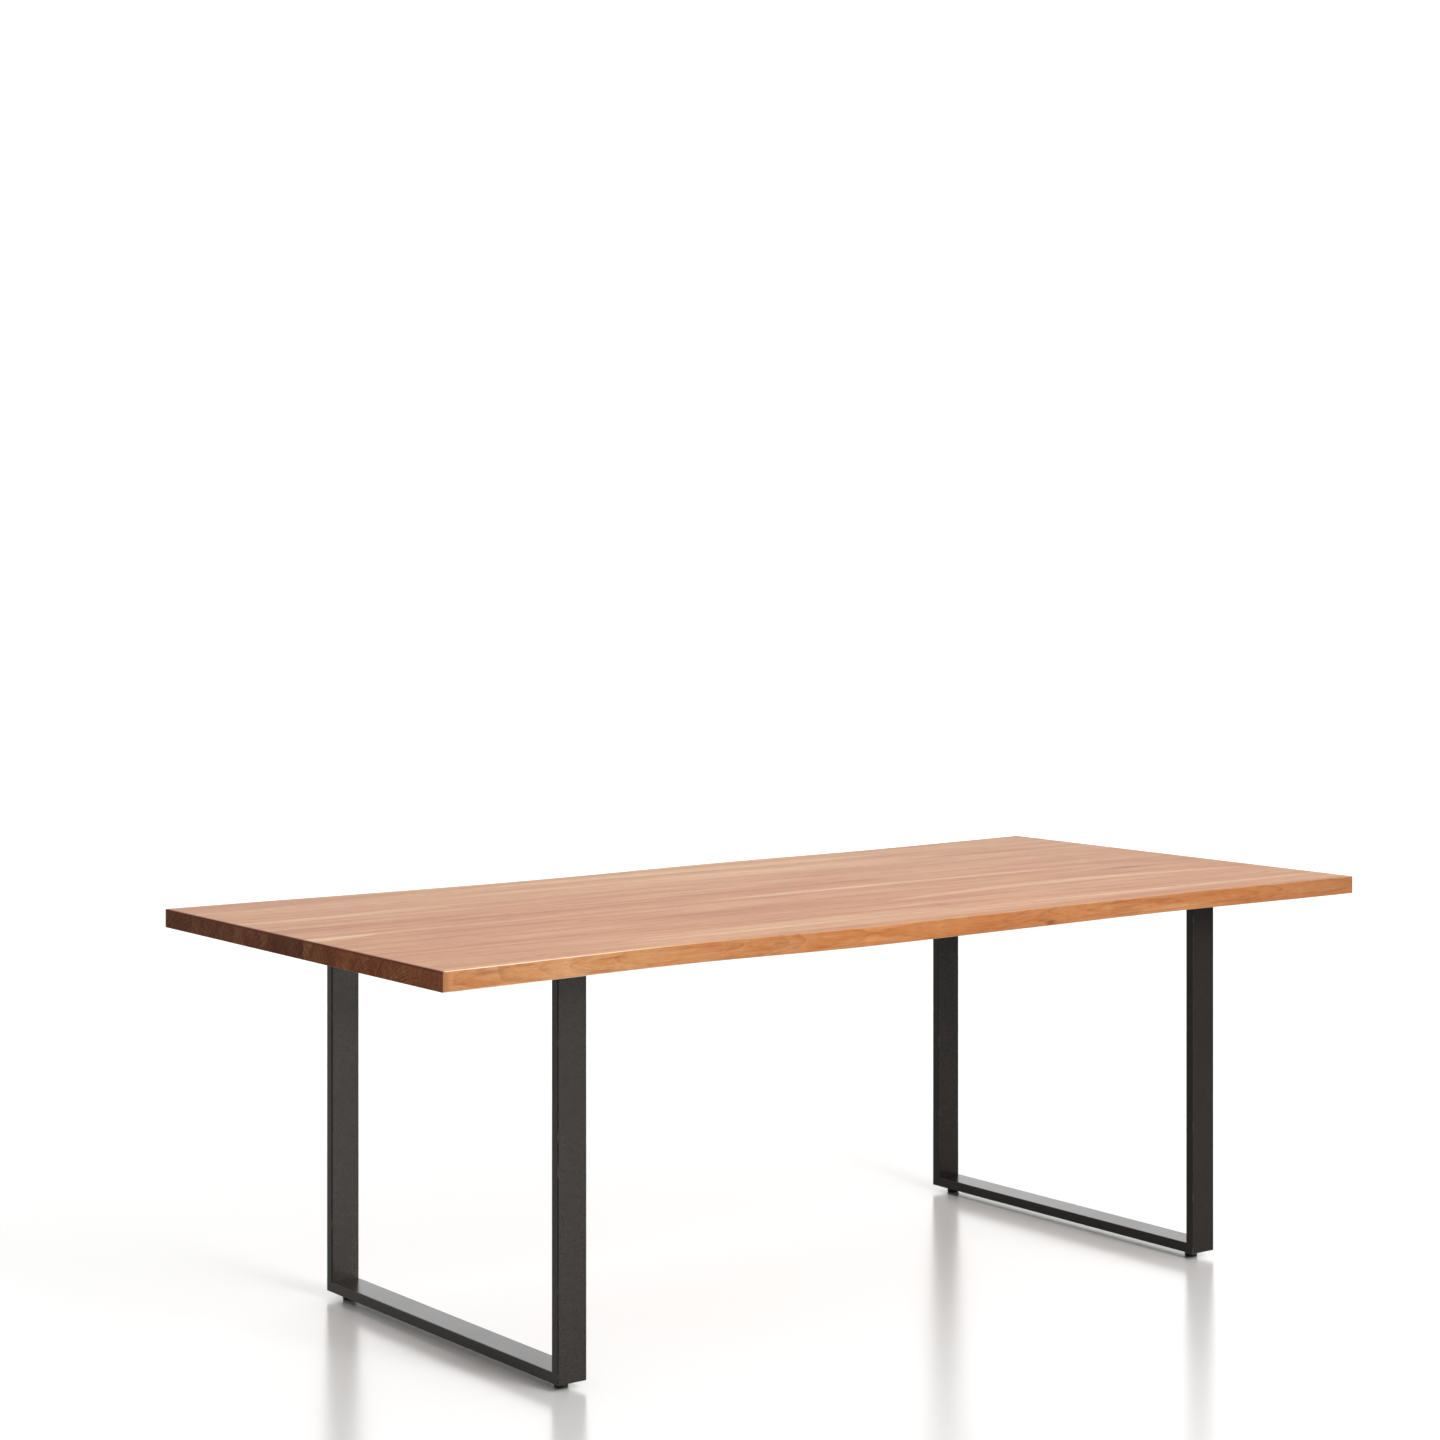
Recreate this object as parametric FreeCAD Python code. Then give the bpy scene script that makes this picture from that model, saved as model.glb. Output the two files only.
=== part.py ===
import FreeCAD, Part
import os
from math import cos, pi, radians, sin

from FreeCAD import Vector

# Dining table with a staved solid-wood top on two closed rectangular tube frames.
# Millimetres. X runs along the table, Y across it, Z is up.
# The origin is on the floor, under the middle of the table.

# Overall sizes
table_length = 2200.0
table_height = 762.0
top_thickness = 35.0

# Top: its two long edges wander gently, as the edge of the tree did.
# Each list gives the edge's distance from the centre line at equal steps along the table.
back_edge_offsets = [482.0, 469.0, 456.0, 453.0, 469.0, 482.0, 482.0, 496.0, 515.0]
front_edge_offsets = [515.0, 501.0, 492.5, 511.0, 508.0, 500.0, 492.0, 499.0, 505.0]
arris_radius = 2.0

# Staves, from the back edge to the front edge: where each glued joint lies across the table
stave_joints = [372.0, 205.0, 61.0, -52.0, -165.0, -278.0, -405.0]
stave_names = [
    "stave_1_back_edge",
    "stave_2",
    "stave_3",
    "stave_4",
    "stave_5",
    "stave_6",
    "stave_7",
    "stave_8_front_edge",
]

# Frames: flat rectangular tube, its wide side along the table
tube_width = 60.0
tube_thickness = 20.0
tube_wall = 2.0
tube_corner_radius = 2.5
frame_depth = 800.0
frame_overhang = 300.0
frame_corner_radius = 3.0

# Fixing of the top: machine screws up through the top rail into threaded inserts
fixing_places = [-320.0, -110.0, 110.0, 320.0]
screw_radius = 4.0
screw_length = 22.0
screw_head_radius = 7.0
screw_head_height = 4.4
screw_hex_across_flats = 5.0
screw_hex_depth = 2.6
screw_hole_radius = 4.5
access_hole_radius = 9.5
washer_radius = 8.5
washer_thickness = 1.6
insert_radius = 6.5
insert_length = 20.0
insert_flange_radius = 8.5
insert_flange_thickness = 1.2
insert_thread_pitch = 3.0
insert_thread_depth = 0.7
insert_hole_depth = 23.0
fit_clearance = 0.05

# Levelling glides: a round pad that the stem's foot turns in, and a nut set in the bottom rail
glide_height = 13.0
glide_inset = 35.0
pad_radius = 12.5
pad_height = 11.2
pad_chamfer = 1.2
pad_pocket_floor = 4.9
pad_pocket_roof = 9.1
stem_foot_radius = 7.0
stem_foot_bottom = 5.0
stem_foot_top = 9.0
stem_radius = 4.0
stem_pitch = 1.25
stem_thread_depth = 0.6
stem_thread_start = 12.0
stem_top = 29.5
nut_bore_radius = 4.05
nut_flange_radius = 8.0
nut_flange_thickness = 1.5
nut_body_radius = 5.5
nut_collar_radius = 7.0
nut_collar_height = 2.5
nut_body_height = 12.0

# Places worked out from the sizes above
half_length = table_length / 2
top_underside = table_height - top_thickness
frame_bottom = glide_height
frame_top = top_underside
frame_front = -frame_depth / 2
frame_back = frame_depth / 2
frame_middle_x = half_length - frame_overhang - tube_width / 2
frame_places = {"left": -frame_middle_x, "right": frame_middle_x}
glide_places = {"front": frame_front + glide_inset, "back": frame_back - glide_inset}


def save(name, solids):
    """Write one node: a single solid, or a group of alike solids."""
    shape = solids[0] if len(solids) == 1 else Part.makeCompound(solids)
    shape.exportStep("parts/" + name + ".step")


def disc(radius, x, y, z0, z1):
    return Part.makeCylinder(radius, z1 - z0, Vector(x, y, z0))


def turned(profile, x, y):
    """Solid of revolution about a vertical axis; the profile is a list of (radius, height)."""
    points = [Vector(radius, 0, height) for radius, height in profile]
    wire = Part.makePolygon(points + points[:1])
    solid = Part.Face(wire).revolve(Vector(0, 0, 0), Vector(0, 0, 1), 360)
    solid.translate(Vector(x, y, 0))
    return solid


def rounded_rectangle(half_u, half_v, radius, place):
    """Closed wire of a rectangle with round corners; place(u, v) gives each point in space."""
    quarter_points = []
    for quarter in range(4):
        side_u = 1 if quarter in (0, 3) else -1
        side_v = 1 if quarter in (0, 1) else -1
        centre_u = side_u * (half_u - radius)
        centre_v = side_v * (half_v - radius)
        arc_points = []
        for step in range(3):
            angle = radians(90 * quarter + 45 * step)
            arc_points.append(place(centre_u + radius * cos(angle), centre_v + radius * sin(angle)))
        quarter_points.append(arc_points)
    edges = []
    for quarter in range(4):
        first, middle, last = quarter_points[quarter]
        edges.append(Part.Arc(first, middle, last).toShape())
        following = quarter_points[(quarter + 1) % 4][0]
        edges.append(Part.LineSegment(last, following).toShape())
    return Part.Wire(edges)


# ---- Top ----

def edge_curve(offsets, side, height):
    """One long edge of the top as a smooth curve, side being +1 at the back and -1 at the front."""
    step = table_length / (len(offsets) - 1)
    points = [Vector(-half_length + step * n, side * offset, height) for n, offset in enumerate(offsets)]
    curve = Part.BSplineCurve()
    curve.interpolate(points)
    return curve.toShape()


def straight_edge(y, height):
    return Part.LineSegment(Vector(-half_length, y, height), Vector(half_length, y, height)).toShape()


def stave(index):
    """One full-length board; the first and the last carry the natural edges."""
    last = len(stave_joints)
    if index == 0:
        back = edge_curve(back_edge_offsets, 1, top_underside)
    else:
        back = straight_edge(stave_joints[index - 1], top_underside)
    if index == last:
        front = edge_curve(front_edge_offsets, -1, top_underside)
    else:
        front = straight_edge(stave_joints[index], top_underside)
    back_left, back_right = back.Vertexes[0].Point, back.Vertexes[1].Point
    front_left, front_right = front.Vertexes[0].Point, front.Vertexes[1].Point
    left = Part.LineSegment(front_left, back_left).toShape()
    right = Part.LineSegment(back_right, front_right).toShape()
    outline = Part.Wire(Part.__sortEdges__([left, back, right, front]))
    board = Part.Face(outline).extrude(Vector(0, 0, top_thickness))
    return board.makeFillet(arris_radius, outside_edges(board, index))


def outside_edges(board, index):
    """Edges of a board that lie on the outside of the finished top, but not along a glued joint."""
    chosen = []
    for edge in board.Edges:
        middle = edge.valueAt((edge.FirstParameter + edge.LastParameter) / 2)
        level = edge.BoundBox.ZLength < 1
        at_end = abs(abs(middle.x) - half_length) < 1
        behind = index == 0 and middle.y > stave_joints[0] + 1
        ahead = index == len(stave_joints) and middle.y < stave_joints[-1] - 1
        if level and (at_end or behind or ahead):
            chosen.append(edge)
        if not level and (behind or ahead):
            chosen.append(edge)
    return chosen


def stave_of(y):
    """Index of the board that lies over a place across the table."""
    return sum(1 for joint in stave_joints if y < joint)


def build_staves():
    boards = [stave(index) for index in range(len(stave_names))]
    for x in frame_places.values():
        for y in fixing_places:
            index = stave_of(y)
            hole = disc(insert_radius + fit_clearance, x, y, top_underside, top_underside + insert_hole_depth)
            rebate_top = top_underside + insert_flange_thickness + fit_clearance
            rebate = disc(insert_flange_radius + fit_clearance, x, y, top_underside, rebate_top)
            boards[index] = boards[index].cut(hole.fuse(rebate))
    for name, board in zip(stave_names, boards):
        save(name, board.Solids)


# ---- Frames ----

def straight_tube(x, y0, y1, z0, z1):
    """Hollow tube that fills the given box, open at both ends."""
    upright = z1 - z0 > y1 - y0
    middle_y = (y0 + y1) / 2
    middle_z = (z0 + z1) / 2
    run = Vector(0, 0, z1 - z0) if upright else Vector(0, y1 - y0, 0)

    def place(u, v):
        return Vector(x + u, middle_y + v, z0) if upright else Vector(x + u, y0, middle_z + v)

    half_width = tube_width / 2
    half_thickness = tube_thickness / 2
    inner_radius = tube_corner_radius - tube_wall
    outside = rounded_rectangle(half_width, half_thickness, tube_corner_radius, place)
    inside = rounded_rectangle(half_width - tube_wall, half_thickness - tube_wall, inner_radius, place)
    return Part.Face(outside).extrude(run).cut(Part.Face(inside).extrude(run))


def mitred_tube(x, corners):
    """Tube cut to a four-cornered outline in the plane of the frame."""
    across = [y for y, z in corners]
    heights = [z for y, z in corners]
    tube = straight_tube(x, min(across), max(across), min(heights), max(heights))
    points = [Vector(x - tube_width, y, z) for y, z in corners]
    outline = Part.makePolygon(points + points[:1])
    return tube.common(Part.Face(outline).extrude(Vector(2 * tube_width, 0, 0)))


def frame_silhouette(x):
    """Solid block of the whole frame, with its four corners ground round."""
    middle_z = (frame_bottom + frame_top) / 2
    half_height = (frame_top - frame_bottom) / 2

    def place(u, v):
        return Vector(x - tube_width, u, middle_z + v)

    outline = rounded_rectangle(frame_depth / 2, half_height, frame_corner_radius, place)
    return Part.Face(outline).extrude(Vector(2 * tube_width, 0, 0))


def frame_corners(inset):
    """The frame's outline, or one set in from it: four (across, height) corners."""
    front, back = frame_front + inset, frame_back - inset
    bottom, top = frame_bottom + inset, frame_top - inset
    return [(front, bottom), (back, bottom), (back, top), (front, top)]


def build_frame(side, x):
    """Closed loop of four mitred tubes, drilled for the screws and the glide nuts."""
    outer = frame_corners(0)
    inner = frame_corners(tube_thickness)
    tubes = {}
    for n, name in enumerate(["bottom_rail", "back_post", "top_rail", "front_post"]):
        following = (n + 1) % 4
        corners = [outer[n], outer[following], inner[following], inner[n]]
        tubes[name] = mitred_tube(x, corners).common(frame_silhouette(x))

    rail_middle = frame_top - tube_thickness / 2
    for y in fixing_places:
        screw_hole = disc(screw_hole_radius, x, y, rail_middle, frame_top + 1)
        access_hole = disc(access_hole_radius, x, y, frame_top - tube_thickness - 1, rail_middle)
        tubes["top_rail"] = tubes["top_rail"].cut(screw_hole).cut(access_hole)
    wall_top = frame_bottom + tube_wall
    for y in glide_places.values():
        nut_hole = disc(nut_body_radius + fit_clearance, x, y, frame_bottom - 1, wall_top + 1)
        tubes["bottom_rail"] = tubes["bottom_rail"].cut(nut_hole)

    for name, tube in tubes.items():
        save(side + "_frame_" + name, tube.Solids)


# ---- Fixings between frame and top ----

def threaded_insert(x, y):
    """Flanged insert with a coarse outside thread, drawn as rings, and a plain bore for the screw."""
    bore = screw_radius + fit_clearance
    root = insert_radius - insert_thread_depth
    bottom = top_underside
    top = bottom + insert_length
    thread_bottom = bottom + insert_flange_thickness + 1.0
    profile = [(bore, bottom), (insert_flange_radius, bottom)]
    profile.append((insert_flange_radius, bottom + insert_flange_thickness))
    profile.append((root, bottom + insert_flange_thickness))
    turns = int((top - thread_bottom) / insert_thread_pitch)
    for turn in range(turns):
        start = thread_bottom + turn * insert_thread_pitch
        profile.append((root, start))
        profile.append((insert_radius, start + insert_thread_pitch / 2))
    profile.append((root, thread_bottom + turns * insert_thread_pitch))
    profile.append((root, top))
    profile.append((bore, top))
    return turned(profile, x, y)


def washer(x, y):
    top = frame_top - tube_wall
    ring = disc(washer_radius, x, y, top - washer_thickness, top)
    return ring.cut(disc(screw_radius + 0.3, x, y, top - washer_thickness - 1, top + 1))


def button_screw(x, y):
    """Button-head machine screw with a hexagon socket, head down."""
    seat = frame_top - tube_wall - washer_thickness
    low = seat - screw_head_height
    tip = seat + screw_length
    rim = screw_head_radius
    profile = [(0, low), (rim * 0.55, low), (rim * 0.86, low + 1.2), (rim, seat - 1.0), (rim, seat)]
    profile += [(screw_radius, seat), (screw_radius, tip - 0.8), (screw_radius - 0.8, tip), (0, tip)]
    corner = screw_hex_across_flats / 2 / cos(pi / 6)
    points = [Vector(x + corner * cos(n * pi / 3), y + corner * sin(n * pi / 3), low - 1) for n in range(7)]
    socket = Part.Face(Part.makePolygon(points)).extrude(Vector(0, 0, 1 + screw_hex_depth))
    return turned(profile, x, y).cut(socket)


def build_fixings(side, x):
    save(side + "_frame_inserts", [threaded_insert(x, y) for y in fixing_places])
    save(side + "_frame_washers", [washer(x, y) for y in fixing_places])
    save(side + "_frame_screws", [button_screw(x, y) for y in fixing_places])


# ---- Levelling glides ----

def glide_nut(x, y):
    """Nut squeezed into the bottom rail: a flange below the wall, a collar above it."""
    low = frame_bottom - nut_flange_thickness
    wall_top = frame_bottom + tube_wall
    collar_top = wall_top + nut_collar_height
    top = frame_bottom + nut_body_height
    profile = [(nut_bore_radius, low), (nut_flange_radius, low), (nut_flange_radius, frame_bottom)]
    profile += [(nut_body_radius, frame_bottom), (nut_body_radius, wall_top), (nut_collar_radius, wall_top)]
    profile += [(nut_collar_radius, collar_top), (nut_body_radius, collar_top + 1)]
    profile += [(nut_body_radius, top), (nut_bore_radius, top)]
    return turned(profile, x, y)


def glide_pad(x, y):
    """Round foot with a closed pocket, where the stem's foot is snapped in and turns."""
    neck = stem_radius + 0.5
    pocket = stem_foot_radius + fit_clearance
    profile = [(0, 0), (pad_radius - pad_chamfer, 0), (pad_radius, pad_chamfer)]
    profile += [(pad_radius, pad_height - 0.6), (pad_radius - 0.6, pad_height), (neck, pad_height)]
    profile += [(neck, pad_pocket_roof), (pocket, pad_pocket_roof)]
    profile += [(pocket, pad_pocket_floor), (0, pad_pocket_floor)]
    return turned(profile, x, y)


def glide_stem(x, y):
    """Threaded stem with a round foot; the thread is drawn as rings at its true pitch."""
    profile = [(0, stem_foot_bottom), (stem_foot_radius, stem_foot_bottom), (stem_foot_radius, stem_foot_top)]
    profile += [(stem_radius, stem_foot_top), (stem_radius, stem_thread_start)]
    turns = int((stem_top - stem_thread_start) / stem_pitch)
    for turn in range(turns):
        start = stem_thread_start + turn * stem_pitch
        profile.append((stem_radius - stem_thread_depth, start + stem_pitch / 2))
        profile.append((stem_radius, start + stem_pitch))
    profile.append((0, stem_thread_start + turns * stem_pitch))
    return turned(profile, x, y)


def build_glides(side, x):
    save(side + "_frame_glide_nuts", [glide_nut(x, y) for y in glide_places.values()])
    for place, y in glide_places.items():
        save(side + "_" + place + "_glide_pad", [glide_pad(x, y)])
        save(side + "_" + place + "_glide_stem", [glide_stem(x, y)])


os.makedirs("parts", exist_ok=True)
build_staves()
for frame_side, frame_x in frame_places.items():
    build_frame(frame_side, frame_x)
    build_fixings(frame_side, frame_x)
    build_glides(frame_side, frame_x)
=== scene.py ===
"""Looks of the butcher block table: timber, powder coat, zinc and moulded plastic."""
import math

import bpy
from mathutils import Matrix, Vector


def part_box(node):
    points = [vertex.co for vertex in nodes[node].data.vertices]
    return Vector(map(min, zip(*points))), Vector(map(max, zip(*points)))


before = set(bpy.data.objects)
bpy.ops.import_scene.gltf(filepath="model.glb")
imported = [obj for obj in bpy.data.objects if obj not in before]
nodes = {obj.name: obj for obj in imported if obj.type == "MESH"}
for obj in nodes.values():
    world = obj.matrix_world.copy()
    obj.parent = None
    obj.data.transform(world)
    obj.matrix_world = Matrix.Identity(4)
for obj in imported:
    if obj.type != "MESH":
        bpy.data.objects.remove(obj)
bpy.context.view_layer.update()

MM_PER_M = 1000.0

# Driving values. Places and sizes of the camera, the stage and the lights are metres. Lengths on
# surfaces, floor_fade among them, are millimetres in the row frame.
camera_place = (-3.6136, -4.6145, 1.4730)
camera_yaw = math.radians(36.86)
camera_lens = 74.07
camera_shift_y = -0.1308
floor_half_size = 20.0
floor_fade = (5000.0, 13000.0)
FLOOR_LOW = (0.555, 0.553, 0.55)
FLOOR_HIGH = (0.58, 0.58, 0.58)
backdrop_heading = camera_yaw
backdrop_white = 1.9
ceiling_white = 1.1
dim_white = 0.15
gleam_white = 15.0
gleam_tint = (1.0, 0.90, 0.80)
gleam_heading = math.radians(153.5)
gleam_height = math.radians(12.0)
gleam_rim = math.radians(10.0)
gleam_core = math.radians(3.0)
softbox_place = (0.2, -5.0, 3.5)
softbox_aim = (-0.2, 0.0, 0.6)
softbox_side = 1.8
softbox_watts = 105.0
softbox_spread = math.radians(100.0)

top_face = MM_PER_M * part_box("stave_4")[1].z


# ---------------------------------------------------------------- shader writing

class Field:
    """A number at each point of a surface, made by shader nodes, with ordinary arithmetic."""

    def __init__(self, shader, socket):
        self.shader = shader
        self.socket = socket

    def __add__(self, other):
        return self.shader.math("ADD", self, other)

    def __radd__(self, other):
        return self.shader.math("ADD", other, self)

    def __sub__(self, other):
        return self.shader.math("SUBTRACT", self, other)

    def __rsub__(self, other):
        return self.shader.math("SUBTRACT", other, self)

    def __mul__(self, other):
        return self.shader.math("MULTIPLY", self, other)

    def __truediv__(self, other):
        return self.shader.math("DIVIDE", self, other)

    def __pow__(self, other):
        return self.shader.math("POWER", self, other)

    def __abs__(self):
        return self.shader.math("ABSOLUTE", self)


class NodeTree:
    """Short calls for the nodes used here."""

    def __init__(self, tree):
        self.tree = tree

    def add(self, kind, **inputs):
        node = self.tree.nodes.new(kind)
        for name, value in inputs.items():
            self.feed(node.inputs[name], value)
        return node

    def feed(self, socket, value):
        if isinstance(value, Field):
            value = value.socket
        if isinstance(value, bpy.types.NodeSocket):
            self.tree.links.new(value, socket)
        else:
            socket.default_value = value

    def math(self, operation, *values):
        node = self.tree.nodes.new("ShaderNodeMath")
        node.operation = operation
        for socket, value in zip(node.inputs, values):
            self.feed(socket, value)
        return Field(self, node.outputs[0])

    def step(self, value, start, end):
        """0 where value is at start, 1 at end, with a smooth turn between; start may be the larger."""
        node = self.tree.nodes.new("ShaderNodeMapRange")
        node.interpolation_type = "SMOOTHSTEP"
        rising = start < end
        limits = (start, end, 0.0, 1.0) if rising else (end, start, 1.0, 0.0)
        for name, limit in zip(("From Min", "From Max", "To Min", "To Max"), limits):
            node.inputs[name].default_value = limit
        self.feed(node.inputs["Value"], value)
        return Field(self, node.outputs["Result"])

    def axes(self, socket):
        split = self.add("ShaderNodeSeparateXYZ", Vector=socket)
        return [Field(self, split.outputs[axis]) for axis in "XYZ"]

    def noise(self, place, detail=2.0, rough=0.5, seed=0.0):
        """Smooth noise from 0 to 1 at a place of three fields or numbers, with features about 1 wide."""
        point = self.add("ShaderNodeCombineXYZ", X=place[0], Y=place[1], Z=place[2] + seed).outputs[0]
        node = self.add("ShaderNodeTexNoise", Vector=point, Scale=1.0, Detail=detail, Roughness=rough)
        return Field(self, node.outputs[0])

    def mix(self, share, first, second, blend="MIX"):
        """Two colours mixed by a share from 0 to 1."""
        node = self.tree.nodes.new("ShaderNodeMix")
        node.data_type = "RGBA"
        node.blend_type = blend
        self.feed(node.inputs[0], share)
        for socket, value in ((node.inputs[6], first), (node.inputs[7], second)):
            self.feed(socket, value if isinstance(value, bpy.types.NodeSocket) else (*value, 1.0))
        return node.outputs[2]


class Shader(NodeTree):
    """One surface material, with x, y and z in millimetres; constants go on the shader's own sockets."""

    def __init__(self, name, **constants):
        self.material = bpy.data.materials.new(name)
        self.material.use_nodes = True
        super().__init__(self.material.node_tree)
        self.surface = self.tree.nodes["Principled BSDF"]
        for socket, value in constants.items():
            self.surface.inputs[socket.replace("_", " ")].default_value = value
        place = self.add("ShaderNodeTexCoord").outputs["Object"]
        self.x, self.y, self.z = (axis * MM_PER_M for axis in self.axes(place))

    def normal(self):
        return self.axes(self.add("ShaderNodeNewGeometry").outputs["Normal"])

    def speckle(self, size, detail=2.0, seed=0.0):
        """Noise with features about size millimetres wide, the same in every direction."""
        return self.noise((self.x / size, self.y / size, self.z / size), detail=detail, seed=seed)

    def finish(self, colour, roughness, height=None, depth=0.0):
        """Joins the surface: colour, roughness, and a height whose full range is depth millimetres."""
        self.feed(self.surface.inputs["Base Color"], colour)
        self.feed(self.surface.inputs["Roughness"], roughness)
        if height is not None:
            bump = self.add("ShaderNodeBump", Height=height, Distance=depth / MM_PER_M, Strength=1.0)
            self.feed(self.surface.inputs["Normal"], bump.outputs[0])
        return self.material


def give(node_name, material):
    """Puts a material on a CAD node."""
    piece = nodes[node_name]
    piece.data.materials.clear()
    piece.data.materials.append(material)


# ---------------------------------------------------------------- timber

HEART_RED = (0.288, 0.100, 0.029)
HEART_MID = (0.355, 0.152, 0.058)
HEART_PALE = (0.400, 0.216, 0.098)
SAPWOOD = (0.455, 0.275, 0.142)
PORE_BROWN = (0.130, 0.052, 0.026)
KNOT_BROWN = (0.140, 0.036, 0.012)
VEIN_RED = (0.215, 0.062, 0.020)
# Pale colour of the painted highlight along the long arris.
ARRIS_HIGHLIGHT_PALE = (0.78, 0.62, 0.50)
RIM_RED = (0.125, 0.024, 0.010)
END_TINT = (0.54, 0.38, 0.285)
# Length in millimetres over which the painted arris highlight fades out.
ARRIS_HIGHLIGHT_FADE = 500.0
RIM_FULL = 2.0
RIM_GONE = 6.0


def band_mask(shader, x, y, z, band):
    """A long streak: a lens lying along the board, which can bow sideways and lean with depth."""
    along = (x - band["x"]) / band["half_length"]
    centre = along * along * band.get("bow", 0.0) + band["y"]
    centre = centre + (z - top_face) * band.get("lean", 0.0)
    outline = shader.math("SQRT", shader.math("MAXIMUM", 1.0 - along * along, 0.0)) * band["half_width"]
    inside = outline - abs(y - centre)
    return shader.step(inside, -1.0, band.get("fade", 12.0)) * band.get("strength", 1.0)


def flow_round_knots(shader, y, z, knots):
    """The grain's own y and z, bent round each knot, and how much of a knot's dark core lies there."""
    knot_dark = 0.0
    for knot in knots:
        dx = (shader.x - knot["x"]) / knot["reach"]
        across = z if knot.get("on_edge") else y
        dy = across - knot["at"]
        near = shader.math("EXPONENT", (dx * dx + (dy / (0.45 * knot["reach"])) ** 2.0) * -1.0)
        if knot.get("on_edge"):
            z = z - dy * near * 0.75
        else:
            y = y - dy * near * 0.75
        core_x = (shader.x - knot["x"]) / knot["length"]
        core_y = dy / knot["size"]
        core = shader.math("EXPONENT", (core_x * core_x + core_y * core_y) * -1.0)
        knot_dark = core * knot.get("strength", 1.0) + knot_dark
    return y, z, knot_dark


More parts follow.
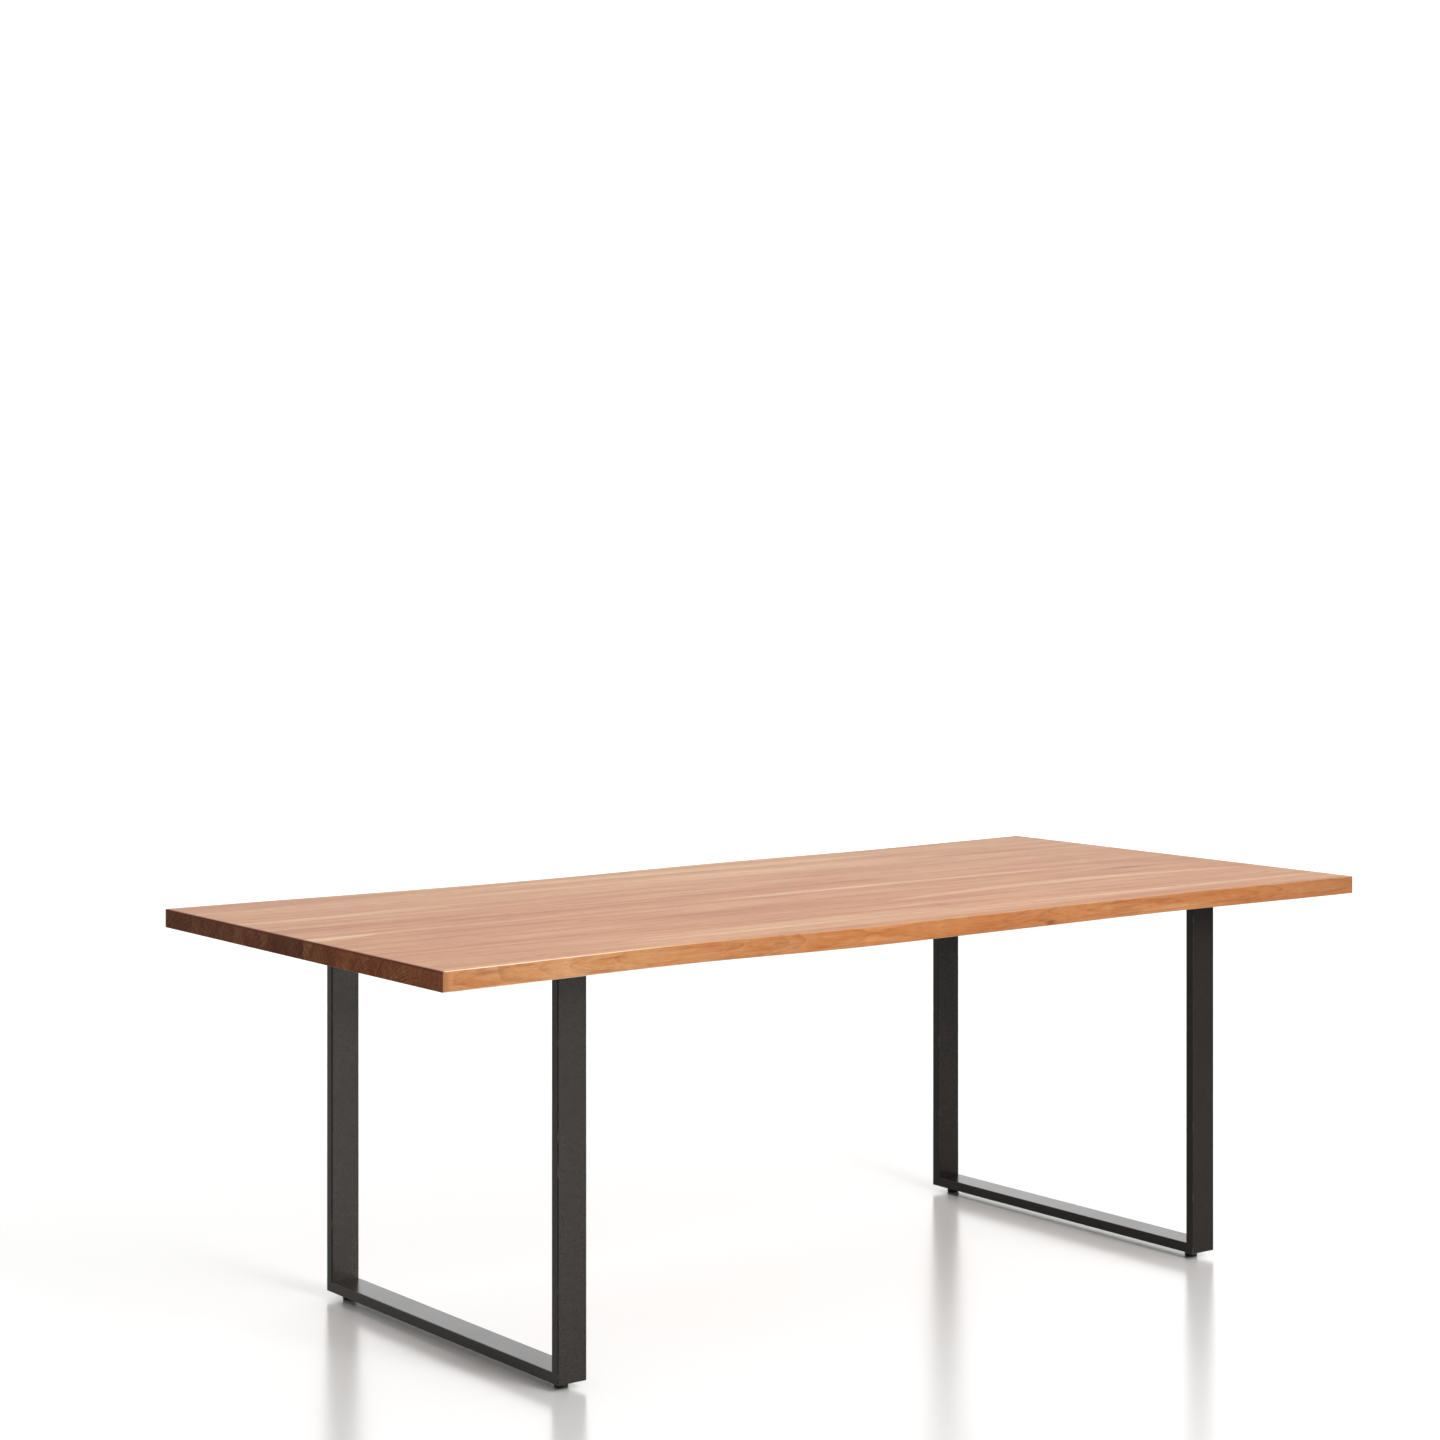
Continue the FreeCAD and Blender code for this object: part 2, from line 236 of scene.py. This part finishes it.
def timber(node_name, pith, seed, tone=0.5, ring=6.0, sway=1.0, bands=(), knots=(), end_dark=1.0,
           painted_highlight_end=None):
    """Solid oiled hardwood of one board.

    pith is (y, z) of the growth rings' centre. tone goes from 0, red, to 1, pale. end_dark scales the
    end grain's colour, under 1 for a darker end. Left of x = painted_highlight_end, a pale highlight is
    painted along the long arris.
    """
    shader = Shader("timber_" + node_name, Specular_IOR_Level=0.2)
    low_side, high_side = (MM_PER_M * corner.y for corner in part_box(node_name))
    far_end = MM_PER_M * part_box(node_name)[1].x

    # Grain flows around each knot, and wanders along the board.
    x = shader.x
    y, z, knot_dark = flow_round_knots(shader, shader.y, shader.z, knots)
    sway_y = (shader.noise((x / 620.0, seed, 0.0), detail=1.0) - 0.5) * (46.0 * sway)
    sway_z = (shader.noise((x / 540.0, seed + 7.0, 0.0), detail=1.0) - 0.5) * (30.0 * sway)
    ripple = (shader.noise((x / 130.0, y / 42.0, z / 42.0), detail=2.0, seed=seed) - 0.5) * 9.0
    ring_y = y - pith[0] - sway_y
    ring_z = z - pith[1] - sway_z
    radius = shader.math("SQRT", ring_y * ring_y + ring_z * ring_z) + ripple

    # Growth rings: uneven years, each darkening towards its late wood, crossed by fine rays.
    years = radius / ring
    slow_years = shader.noise((years * 0.30, seed, x / 1400.0), detail=3.0, rough=0.6)
    fast_years = shader.noise((years * 1.1, seed + 3.0, x / 900.0), detail=2.0, rough=0.6)
    late = shader.math("FRACT", years + fast_years * 1.6) ** 5.0
    bearing = shader.math("ARCTAN2", ring_z, ring_y)
    rays = shader.noise((bearing * 70.0, radius / 28.0, seed), detail=2.0, rough=0.6)

    # Fibres, pore dashes and broad colour drift, all drawn out along the board.
    drift = shader.noise((x / 520.0, y / 34.0, z / 50.0), detail=3.0, rough=0.6, seed=seed + 11.0)
    streak = shader.noise((x / 240.0, y / 6.5, z / 6.5), detail=3.0, rough=0.6, seed=seed + 17.0)
    figure = shader.noise((x / 22.0, y / 55.0, z / 55.0), seed=seed + 41.0)
    fibre = shader.noise((x / 48.0, y / 0.9, z / 0.9), detail=2.0, rough=0.6, seed=seed + 23.0)
    pore = shader.step(shader.noise((x / 11.0, y / 0.7, z / 0.7), detail=1.0, seed=seed + 29.0), 0.66, 0.78)
    fleck = shader.step(shader.noise((x / 30.0, y / 3.4, z / 3.4), detail=1.0, seed=seed + 61.0), 0.60, 0.74)
    facing = [abs(part) for part in shader.normal()]
    end_grain = shader.step(facing[0], 0.55, 0.85)
    arris = shader.step(facing[1], 0.25, 0.45) * shader.step(facing[2], 0.25, 0.45)

    pale = (slow_years - 0.5) * 2.4 + (drift - 0.5) * 2.8 + (streak - 0.5) * 2.9 + tone
    heart = shader.mix(shader.step(pale, -0.1, 0.5), HEART_RED, HEART_MID)
    heart = shader.mix(shader.step(pale, 0.5, 1.1), heart, HEART_PALE)
    wander = (drift - 0.5) * 26.0 + (streak - 0.5) * 16.0
    for band in bands:
        loose = band["half_width"] / 30.0
        share = band_mask(shader, x, y + wander * loose, z, band) * (0.55 + slow_years * 0.9)
        heart = shader.mix(shader.math("MINIMUM", share, 1.0), heart, band.get("tint", SAPWOOD))
    # Painted highlight: every long arris is mixed part way to the pale sapwood colour.
    heart = shader.mix(arris * 0.45, heart, SAPWOOD)
    vein = shader.noise((x / 330.0, y / 8.0, z / 8.0), detail=3.0, rough=0.65, seed=seed + 53.0)
    heart = shader.mix(shader.step(vein, 0.54, 0.70) * 0.6, heart, VEIN_RED)
    fine = fibre * 0.5 + streak * 0.5
    shade = 1.0 - (fine - 0.5) * 0.9 - (figure - 0.5) * 0.14 - (slow_years - 0.5) * 0.30
    shade = shade - late * (0.18 + end_grain * 0.55) - (rays - 0.5) * end_grain * 1.3
    shade_rgb = shader.add("ShaderNodeCombineColor", Red=shade, Green=shade ** 1.6, Blue=shade ** 2.0)
    grain = shader.mix(1.0, heart, shade_rgb.outputs[0], "MULTIPLY")
    grain = shader.mix(shader.math("MAXIMUM", pore * 0.22, fleck * 0.30), grain, PORE_BROWN)
    if knots:
        grain = shader.mix(shader.math("MINIMUM", knot_dark, 1.0), grain, KNOT_BROWN)
    to_joint = shader.math("MINIMUM", shader.y - low_side, high_side - shader.y)
    grain = shader.mix(shader.step(to_joint, 0.6, 0.1) * 0.35, grain, PORE_BROWN)
    ends = shader.mix(1.0, grain, tuple(channel * end_dark for channel in END_TINT), "MULTIPLY")
    colour = shader.mix(end_grain, grain, ends)
    # Painted highlight: towards the left end, the long arris fades into a pale colour that stands for gloss
    # on it.
    if painted_highlight_end is not None:
        colour = shader.mix(arris * shader.step(x, painted_highlight_end, painted_highlight_end - ARRIS_HIGHLIGHT_FADE) * 0.7, colour, ARRIS_HIGHLIGHT_PALE)

    # A dark line along the rim, where the end grain meets the top face.
    from_rim = far_end - abs(shader.x) + (top_face - shader.z)
    colour = shader.mix(shader.step(from_rim, RIM_GONE, RIM_FULL) * 0.8, colour, RIM_RED)

    roughness = 0.52 + (streak - 0.5) * 0.16 + pore * 0.12 + end_grain * 0.25 - arris * 0.12
    height = fibre * 0.5 + streak * 0.35 - pore * 0.6 - late * 0.2
    return shader.finish(colour, roughness, height, depth=0.10)


def place_timber():
    boards = {
        "stave_1_back_edge": dict(pith=(350.0, 640.0), seed=1.3, tone=0.62, ring=7.5, end_dark=0.68, bands=(
            dict(x=-980.0, half_length=420.0, y=425.0, half_width=60.0, strength=0.4, fade=40.0,
                 tint=HEART_RED),
            dict(x=60.0, half_length=560.0, y=390.0, half_width=55.0, strength=0.6, fade=40.0))),
        "stave_2": dict(pith=(180.0, 640.0), seed=5.1, tone=0.66, ring=6.5, end_dark=0.73, bands=(
            dict(x=-1100.0, half_length=90.0, y=371.0, half_width=4.0, strength=0.6, fade=3.0),
            dict(x=-640.0, half_length=230.0, y=208.0, half_width=12.0, strength=0.7),
            dict(x=60.0, half_length=700.0, y=300.0, half_width=45.0, strength=0.5, fade=30.0))),
        "stave_3": dict(pith=(250.0, 670.0), seed=9.7, tone=0.48, ring=7.0, end_dark=0.86, bands=(
            dict(x=-1100.0, half_length=480.0, y=196.0, half_width=42.0, strength=0.6, fade=30.0),
            dict(x=-1080.0, half_length=460.0, y=68.0, half_width=26.0, strength=0.9, fade=20.0,
                 tint=HEART_RED))),
        "stave_4": dict(pith=(110.0, 640.0), seed=14.2, tone=0.42, ring=6.0, end_dark=0.66, bands=(
            dict(x=-1100.0, half_length=420.0, y=45.0, half_width=22.0, strength=0.8, fade=16.0,
                 tint=HEART_RED),
            dict(x=300.0, half_length=560.0, y=-30.0, bow=-4.0, half_width=16.0, strength=0.9))),
        "stave_5": dict(pith=(-20.0, 690.0), seed=18.8, tone=0.40, ring=6.0, bands=(
            dict(x=-1110.0, half_length=150.0, y=-54.0, half_width=40.0, lean=-1.1, strength=0.9, fade=4.0),
            dict(x=-900.0, half_length=400.0, y=-56.0, half_width=13.0, strength=0.9)), knots=(
            dict(x=835.0, at=-112.0, reach=120.0, length=70.0, size=8.0, strength=0.9),
            dict(x=-567.0, at=-135.0, reach=50.0, length=13.0, size=4.5, strength=0.7))),
        "stave_6": dict(pith=(-330.0, 650.0), seed=24.5, tone=0.44, ring=7.0, end_dark=1.17, bands=(
            dict(x=-240.0, half_length=300.0, y=-180.0, half_width=34.0, strength=0.9, fade=26.0,
                 tint=HEART_RED),
            dict(x=560.0, half_length=500.0, y=-205.0, bow=-42.0, half_width=24.0, strength=0.7,
                 fade=14.0))),
        "stave_7": dict(pith=(-420.0, 655.0), seed=29.9, tone=0.40, ring=6.5, end_dark=1.17, bands=(
            dict(x=-950.0, half_length=360.0, y=-284.0, half_width=18.0, strength=1.0, tint=HEART_RED),
            dict(x=-280.0, half_length=380.0, y=-384.0, bow=-12.0, half_width=24.0, strength=0.5)), knots=(
            dict(x=115.0, at=-345.0, reach=90.0, length=20.0, size=9.0, strength=0.5),
            dict(x=10.0, at=-300.0, reach=30.0, length=9.0, size=4.0, strength=0.6))),
        "stave_8_front_edge": dict(
            pith=(-468.0, 748.0), seed=36.4, tone=0.57, ring=4.6, sway=0.25, end_dark=1.20, painted_highlight_end=-450.0,
            bands=(
                dict(x=650.0, half_length=520.0, y=-407.0, half_width=26.0, strength=0.75, fade=18.0),
                dict(x=-300.0, half_length=420.0, y=-415.0, half_width=20.0, strength=0.6, fade=16.0),
                dict(x=-960.0, half_length=330.0, y=-468.0, half_width=34.0, strength=0.6, fade=24.0,
                     tint=HEART_RED),
                dict(x=-1020.0, half_length=260.0, y=-508.0, half_width=30.0, strength=0.12, fade=18.0),
                dict(x=-560.0, half_length=280.0, y=-508.0, half_width=30.0, strength=0.3, fade=18.0,
                     tint=HEART_RED),
                dict(x=600.0, half_length=800.0, y=-508.0, half_width=30.0, strength=0.65, fade=18.0,
                     tint=HEART_RED)),
            knots=(
                dict(x=-1010.0, at=752.0, reach=50.0, length=26.0, size=4.5, strength=0.5, on_edge=True),
                dict(x=255.0, at=733.0, reach=50.0, length=10.0, size=4.5, strength=0.8, on_edge=True),
                dict(x=-870.0, at=-457.0, reach=40.0, length=12.0, size=4.0, strength=0.6))),
    }
    for name, looks in boards.items():
        give(name, timber(name, **looks))


# ---------------------------------------------------------------- steel, zinc and plastic

COAT_BASE = (0.0080, 0.0063, 0.0051)
COAT_WORN = (0.105, 0.095, 0.085)


def powder_coat(name, low, high):
    """Fine-textured satin powder coat on one tube, a little worn on its arrises."""
    shader = Shader(name, Specular_IOR_Level=0.25)
    grit = shader.speckle(0.8)
    peel = shader.speckle(3.2, detail=1.0, seed=4.0)
    cloud = shader.speckle(140.0, detail=3.0, seed=9.0)
    centre = [MM_PER_M / 2 * (a + b) for a, b in zip(low, high)]
    half = [MM_PER_M / 2 * (b - a) for a, b in zip(low, high)]
    insets = [size - abs(at - middle) for at, middle, size in
              zip((shader.x, shader.y, shader.z), centre, half)]
    near = [shader.step(inset, 2.2, 0.2) for inset in insets]
    edge = near[0] * near[1] + near[1] * near[2] + near[0] * near[2]
    rub = shader.step(shader.speckle(26.0, detail=4.0, seed=15.0), 0.56, 0.70)
    worn = shader.math("MINIMUM", edge * (rub * 0.8 + 0.12), 1.0)
    tone = shader.mix(cloud, tuple(c * 0.82 for c in COAT_BASE), tuple(c * 1.22 for c in COAT_BASE))
    tone = shader.mix(grit * 0.5 + peel * 0.9 - 0.45, tone, tuple(c * 2.2 for c in COAT_BASE))
    colour = shader.mix(worn, tone, COAT_WORN)
    roughness = 0.26 + (grit - 0.5) * 0.14 + (cloud - 0.5) * 0.10
    return shader.finish(colour, roughness, grit * 0.6 + peel * 0.6, depth=0.045)


def zinc(name):
    """Bright zinc plate with a faint blue-grey mottle and fine scuffs."""
    shader = Shader(name, Metallic=1.0)
    mottle = shader.speckle(2.5, detail=3.0)
    scuff = shader.speckle(0.35, seed=3.0)
    colour = shader.mix(mottle, (0.52, 0.54, 0.56), (0.72, 0.72, 0.70))
    return shader.finish(colour, 0.30 + (mottle - 0.5) * 0.2 + (scuff - 0.5) * 0.15, scuff, depth=0.02)


def moulded_plastic(name):
    """Matt black moulded plastic with a fine spark-eroded texture."""
    shader = Shader(name, Specular_IOR_Level=0.45)
    grain = shader.speckle(0.5, detail=3.0)
    dust = shader.step(shader.speckle(5.0, detail=4.0, seed=2.0), 0.45, 0.75)
    colour = shader.mix(dust * 0.35, (0.016, 0.016, 0.017), (0.05, 0.048, 0.045))
    return shader.finish(colour, 0.55 + (grain - 0.5) * 0.2, grain, depth=0.03)


def place_hardware():
    zinc_plate = zinc("zinc_plate")
    pad_plastic = moulded_plastic("pad_plastic")
    for name in nodes:
        if name.endswith(("rail", "post")):
            give(name, powder_coat("coat_" + name, *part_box(name)))
        elif name.endswith("pad"):
            give(name, pad_plastic)
        elif not name.startswith("stave"):
            give(name, zinc_plate)


# ---------------------------------------------------------------- stage, light and camera

def make_floor():
    """A glossy pale floor that fades away to nothing beyond the table."""
    mesh = bpy.data.meshes.new("floor")
    reach = floor_half_size
    mesh.from_pydata([(-reach, -reach, 0), (reach, -reach, 0), (reach, reach, 0), (-reach, reach, 0)], [],
                     [(0, 1, 2, 3)])
    floor = bpy.data.objects.new("floor", mesh)
    bpy.context.scene.collection.objects.link(floor)
    shader = Shader("floor_white", Specular_IOR_Level=0.8)
    cloud = shader.speckle(900.0)
    shader.finish(shader.mix(cloud, FLOOR_LOW, FLOOR_HIGH), 0.20 + cloud * 0.02)
    distance = shader.math("SQRT", shader.x * shader.x + shader.y * shader.y)
    fade = shader.add("ShaderNodeMixShader", Fac=shader.step(distance, *floor_fade))
    shader.feed(fade.inputs[1], shader.surface.outputs[0])
    shader.feed(fade.inputs[2], shader.add("ShaderNodeBsdfTransparent").outputs[0])
    shader.feed(shader.tree.nodes["Material Output"].inputs["Surface"], fade.outputs[0])
    mesh.materials.append(shader.material)


def make_softbox():
    """A square light in front, whose own shape shows neither to the camera nor in gloss."""
    light = bpy.data.lights.new("front", "AREA")
    light.shape = "RECTANGLE"
    light.size = light.size_y = softbox_side
    light.energy = softbox_watts
    light.spread = softbox_spread
    holder = bpy.data.objects.new("front", light)
    holder.location = softbox_place
    holder.rotation_euler = (Vector(softbox_aim) - Vector(softbox_place)).to_track_quat("-Z", "Y").to_euler()
    holder.visible_camera = False
    holder.visible_glossy = False
    bpy.context.scene.collection.objects.link(holder)


def make_surroundings():
    """A white studio: bright backdrop and ceiling, dimmer elsewhere but for a warm gleam."""
    world = bpy.data.worlds.new("studio")
    world.use_nodes = True
    bpy.context.scene.world = world
    studio = NodeTree(world.node_tree)
    east, north, up = studio.axes(studio.add("ShaderNodeTexCoord").outputs["Generated"])
    towards = east * math.sin(backdrop_heading) + north * math.cos(backdrop_heading)
    backdrop = studio.step(towards, -0.05, 0.95) * (backdrop_white - dim_white)
    ceiling = studio.step(up, 0.15, 0.85) * (ceiling_white - dim_white)
    white = studio.math("MAXIMUM", backdrop, ceiling)
    gleam_east = math.cos(gleam_height) * math.sin(gleam_heading)
    gleam_north = math.cos(gleam_height) * math.cos(gleam_heading)
    nearness = east * gleam_east + north * gleam_north + up * math.sin(gleam_height)
    gleam = studio.step(nearness, math.cos(gleam_rim), math.cos(gleam_core))
    seen = Field(studio, studio.add("ShaderNodeLightPath").outputs["Is Camera Ray"])
    background = world.node_tree.nodes["Background"]
    strength = studio.math("MAXIMUM", white + dim_white + gleam * gleam_white, seen)
    studio.feed(background.inputs["Color"], studio.mix(gleam, (1.0, 1.0, 1.0), gleam_tint))
    studio.feed(background.inputs["Strength"], strength)


def make_camera():
    camera = bpy.data.cameras.new("camera")
    camera.sensor_width = 36.0
    camera.lens = camera_lens
    camera.shift_y = camera_shift_y
    camera.clip_end = 200.0
    holder = bpy.data.objects.new("camera", camera)
    holder.location = camera_place
    holder.rotation_euler = (math.pi / 2, 0.0, -camera_yaw)
    bpy.context.scene.collection.objects.link(holder)
    bpy.context.scene.camera = holder
    bpy.context.scene.view_settings.view_transform = "Standard"


make_camera()
make_floor()
make_surroundings()
make_softbox()
place_timber()
place_hardware()
